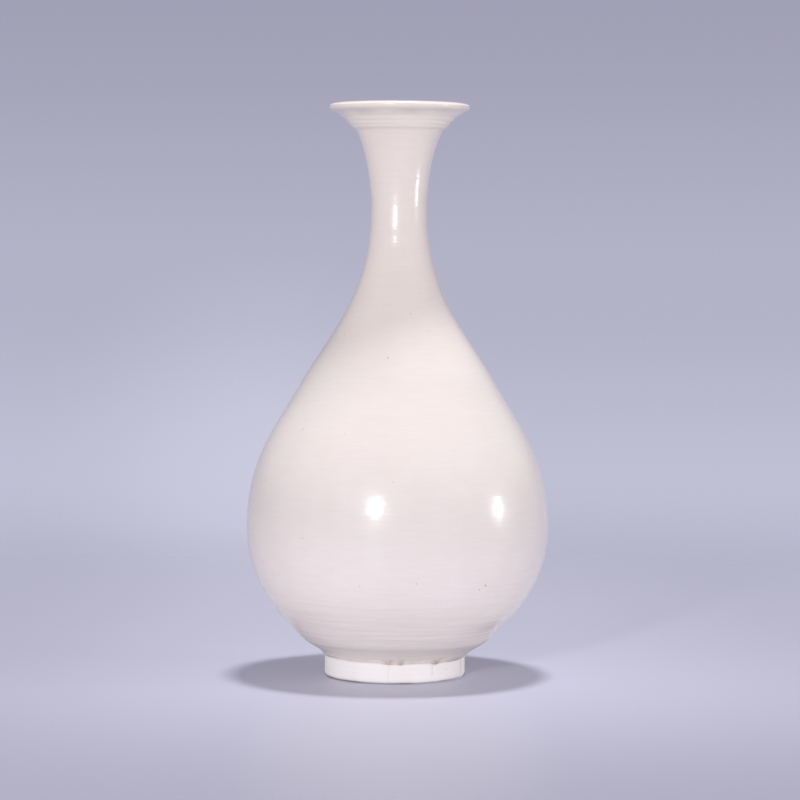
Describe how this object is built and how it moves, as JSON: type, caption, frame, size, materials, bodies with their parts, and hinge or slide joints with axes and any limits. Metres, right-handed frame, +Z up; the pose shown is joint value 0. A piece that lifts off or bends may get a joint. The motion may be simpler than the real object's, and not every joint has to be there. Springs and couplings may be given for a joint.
{
  "type": "bottle vase",
  "caption": "Pear-shaped ceramic bottle vase with a slender neck, trumpet mouth with rolled lip, low full belly and bare foot ring; stands on a table and holds stems or wine.",
  "frame": {"origin": "on the axis of the vase, at the surface that the foot ring stands on", "axes": "+Z up along the axis of the vase; -Y faces the picture's camera"},
  "size_m": [0.1508, 0.1508, 0.285],
  "materials": {
    "ivory_glaze": "glossy warm ivory-white glaze",
    "bare_clay": "chalky unglazed white stoneware",
    "luting_slip": "dry fired slip"
  },
  "bodies": {
    "root": {"foot_ring": "bare_clay", "foot_slip": "luting_slip", "lower_belly": "bare_clay", "belly_slip": "luting_slip", "upper_belly": "bare_clay", "neck_slip": "luting_slip", "neck": "bare_clay", "rim_slip": "luting_slip", "mouth_rim": "bare_clay", "outer_glaze": "ivory_glaze", "inner_glaze": "ivory_glaze"}
  },
  "joints": []
}
